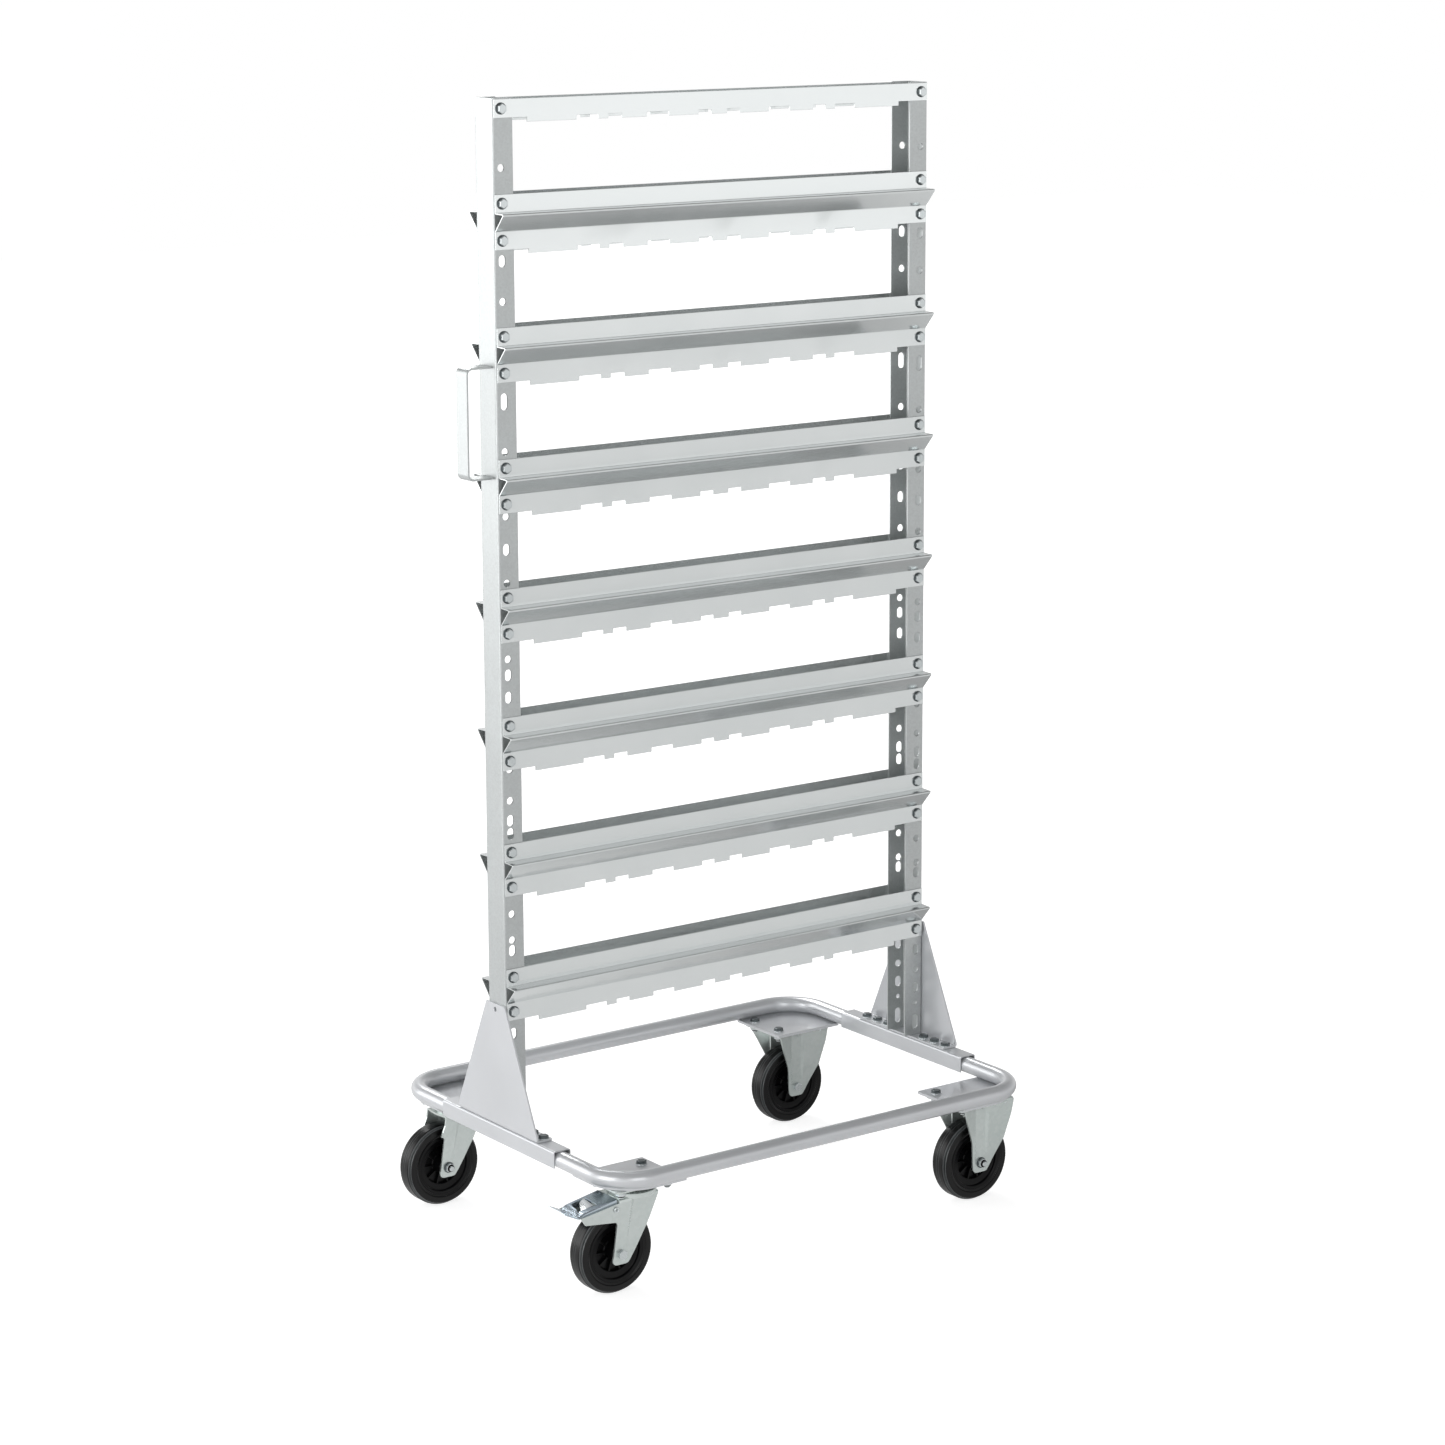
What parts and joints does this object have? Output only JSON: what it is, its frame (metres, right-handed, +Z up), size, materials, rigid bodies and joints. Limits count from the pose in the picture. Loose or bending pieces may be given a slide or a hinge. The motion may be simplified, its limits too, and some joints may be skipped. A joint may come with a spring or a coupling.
{
  "type": "mobile bin cart",
  "caption": "Two-sided mobile rack: folded uprights on a bent tube base with castors, and bin rails with ledges bolted to both faces.",
  "frame": {"origin": "on the floor, at the middle of the part's bounding box seen from above", "axes": "+Z up, +X along the rails away from the push handle, -Y towards the front with the braked castor"},
  "size_m": [0.8324, 0.6, 1.6773],
  "materials": {
    "galvanised_steel": "galvanised sheet, satin",
    "grey_paint": "light grey powder coat, satin",
    "zinc_plate": "bright zinc plate",
    "black_plastic": "moulded black plastic",
    "black_rubber": "black rubber, satin"
  },
  "bodies": {
    "frame": {"base_tube": "grey_paint", "foot_channel_left": "grey_paint", "foot_channel_right": "grey_paint", "foot_left": "grey_paint", "foot_right": "grey_paint", "upright_left": "galvanised_steel", "upright_right": "galvanised_steel", "push_handle": "galvanised_steel", "top_strip_front": "galvanised_steel", "top_strip_rear": "galvanised_steel", "bin_rail_front_1": "galvanised_steel", "bin_rail_front_2": "galvanised_steel", "bin_rail_front_3": "galvanised_steel", "bin_rail_front_4": "galvanised_steel", "bin_rail_front_5": "galvanised_steel", "bin_rail_front_6": "galvanised_steel", "bin_rail_front_7": "galvanised_steel", "bin_rail_rear_1": "galvanised_steel", "bin_rail_rear_2": "galvanised_steel", "bin_rail_rear_3": "galvanised_steel", "bin_rail_rear_4": "galvanised_steel", "bin_rail_rear_5": "galvanised_steel", "bin_rail_rear_6": "galvanised_steel", "bin_rail_rear_7": "galvanised_steel", "corner_plate_front_left": "grey_paint", "corner_plate_front_right": "grey_paint", "corner_plate_rear_left": "grey_paint", "corner_plate_rear_right": "grey_paint", "castor_plate_front_left": "zinc_plate", "castor_plate_rear_left": "zinc_plate", "kingpin_front_left": "zinc_plate", "kingpin_rear_left": "zinc_plate", "castor_bracket_front_right": "zinc_plate", "castor_bracket_rear_right": "zinc_plate", "axle_front_right": "zinc_plate", "axle_rear_right": "zinc_plate", "sleeve_front_right": "zinc_plate", "sleeve_rear_right": "zinc_plate"},
    "castor_fork_front_left": {"ball_race_front_left": "zinc_plate", "fork_front_left": "zinc_plate", "axle_front_left": "zinc_plate", "sleeve_front_left": "zinc_plate", "brake_pin": "zinc_plate"},
    "wheel_front_left": {"rim_front_left": "black_plastic", "tyre_front_left": "black_rubber"},
    "wheel_front_right": {"rim_front_right": "black_plastic", "tyre_front_right": "black_rubber"},
    "castor_fork_rear_left": {"ball_race_rear_left": "zinc_plate", "fork_rear_left": "zinc_plate", "axle_rear_left": "zinc_plate", "sleeve_rear_left": "zinc_plate"},
    "wheel_rear_left": {"rim_rear_left": "black_plastic", "tyre_rear_left": "black_rubber"},
    "wheel_rear_right": {"rim_rear_right": "black_plastic", "tyre_rear_right": "black_rubber"},
    "brake": {"brake_pedal": "zinc_plate"}
  },
  "joints": [
    {"name": "swivel_front_left", "type": "hinge", "parent": "frame", "child": "castor_fork_front_left", "pos_m": [-0.28608, -0.2315, 0.15], "axis": [0, 0, 1], "continuous": true},
    {"name": "roll_front_left", "type": "hinge", "parent": "castor_fork_front_left", "child": "wheel_front_left", "pos_m": [-0.32258, -0.2315, 0.0625], "axis": [0, 1, 0], "continuous": true},
    {"name": "roll_front_right", "type": "hinge", "parent": "frame", "child": "wheel_front_right", "pos_m": [0.33842, -0.2315, 0.0625], "axis": [0, 1, 0], "continuous": true},
    {"name": "swivel_rear_left", "type": "hinge", "parent": "frame", "child": "castor_fork_rear_left", "pos_m": [-0.28608, 0.2315, 0.15], "axis": [0, 0, 1], "continuous": true},
    {"name": "roll_rear_left", "type": "hinge", "parent": "castor_fork_rear_left", "child": "wheel_rear_left", "pos_m": [-0.32258, 0.2315, 0.0625], "axis": [0, 1, 0], "continuous": true},
    {"name": "roll_rear_right", "type": "hinge", "parent": "frame", "child": "wheel_rear_right", "pos_m": [0.33842, 0.2315, 0.0625], "axis": [0, 1, 0], "continuous": true},
    {"name": "brake_press", "type": "hinge", "parent": "castor_fork_front_left", "child": "brake", "pos_m": [-0.33158, -0.2315, 0.1305], "axis": [0, -1, 0], "range_deg": [0, 10]}
  ]
}
